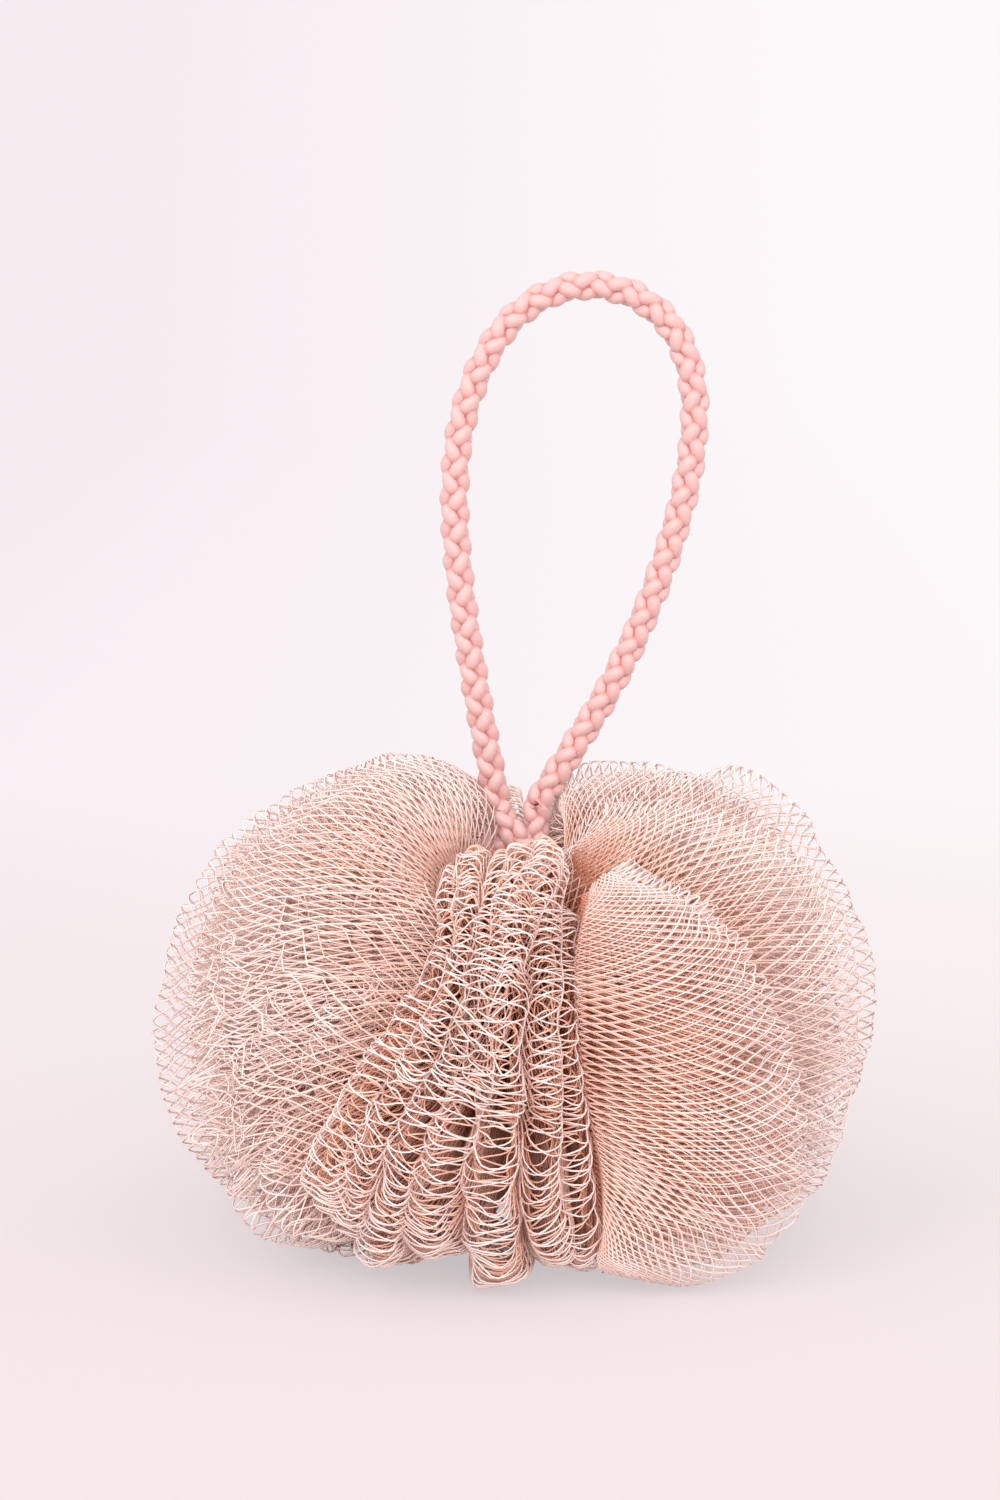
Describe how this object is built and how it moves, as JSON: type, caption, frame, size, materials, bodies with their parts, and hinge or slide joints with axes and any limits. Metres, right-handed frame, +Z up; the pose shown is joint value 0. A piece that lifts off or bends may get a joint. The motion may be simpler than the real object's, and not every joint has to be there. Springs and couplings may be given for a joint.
{
  "type": "bath puff with hanging loop",
  "caption": "Round puff of pleated tubular netting gathered round a tied core, with a braided rope loop standing from the neck to hold or hang it by.",
  "frame": {"origin": "on the surface that the puff stands on, under the upright core axis, at the middle of the puff's box", "axes": "+Z up along the core towards the hanging loop, +X to the right with the front fan of pleats facing the viewer, -Y to the front"},
  "size_m": [0.15, 0.1222, 0.1982],
  "materials": {
    "netting": "satin",
    "rope": "satin",
    "tie_cord": "matte"
  },
  "bodies": {
    "puff": {"netting_left": "netting", "netting_right": "netting", "netting_front": "netting", "netting_back": "netting"},
    "core": {"tie_cord": "tie_cord", "tie_knot": "tie_cord", "rope_tail_left": "rope", "rope_tail_right": "rope", "rope_stopper_knot": "rope"},
    "neck": {"rope_neck_knot": "rope"},
    "loop": {"rope_loop": "rope"}
  },
  "joints": [
    {"name": "squeeze", "type": "slide", "parent": "puff", "child": "core", "axis": [0, 0, 1], "range_m": [-0.03, 0], "stiffness_N_per_m": 150, "springref_m": 0.004, "deforming": ["netting_left", "netting_right", "netting_front", "netting_back"]},
    {"name": "knot_twist", "type": "hinge", "parent": "core", "child": "neck", "pos_m": [0, 0, 0.082], "axis": [0, 0, 1], "range_deg": [-60, 60], "stiffness_Nm_per_rad": 0.004},
    {"name": "loop_tilt", "type": "hinge", "parent": "neck", "child": "loop", "pos_m": [0, 0, 0.082], "axis": [1, 0, 0], "range_deg": [-70, 70], "stiffness_Nm_per_rad": 0.01}
  ]
}
